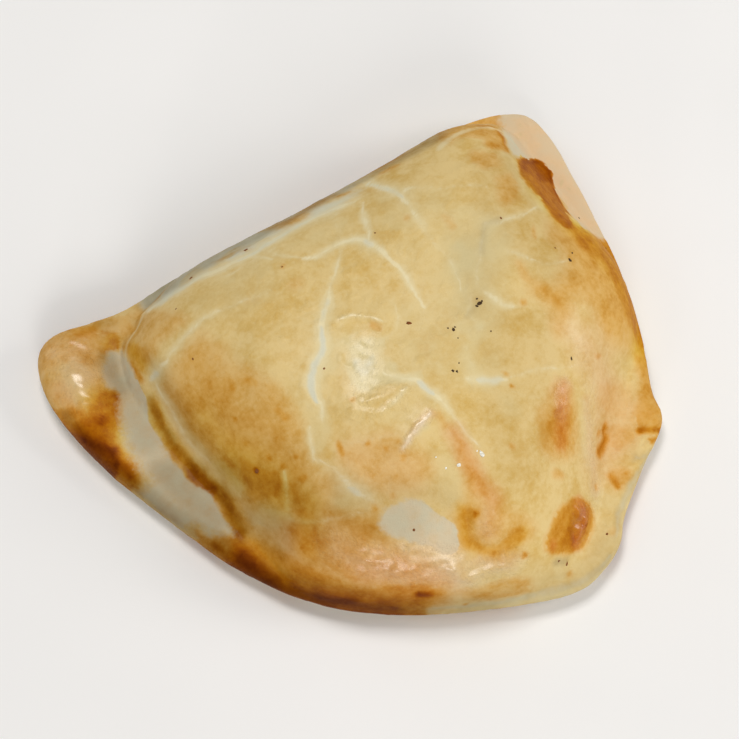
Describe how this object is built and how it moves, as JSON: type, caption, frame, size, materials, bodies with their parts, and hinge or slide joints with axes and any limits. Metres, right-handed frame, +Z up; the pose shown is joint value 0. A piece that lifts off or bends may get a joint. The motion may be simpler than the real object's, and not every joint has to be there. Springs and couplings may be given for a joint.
{
  "type": "apple empanada",
  "caption": "Baked half-round pastry folded over a fruit filling, with a domed pocket, a sealed border, a pinched corner and a flat underside.",
  "frame": {"origin": "on the surface it rests on, under the middle of the pastry's box", "axes": "+X runs along the folded edge towards its right-hand tip, +Y from the sealed belly to the fold, +Z up from the flat underside"},
  "size_m": [0.1384, 0.1142, 0.0366],
  "materials": {
    "crust": "egg-glazed baked pastry, golden with browned edges, pale where the glaze is missing, soft gloss"
  },
  "bodies": {
    "root": {"empanada": "crust"}
  },
  "joints": []
}
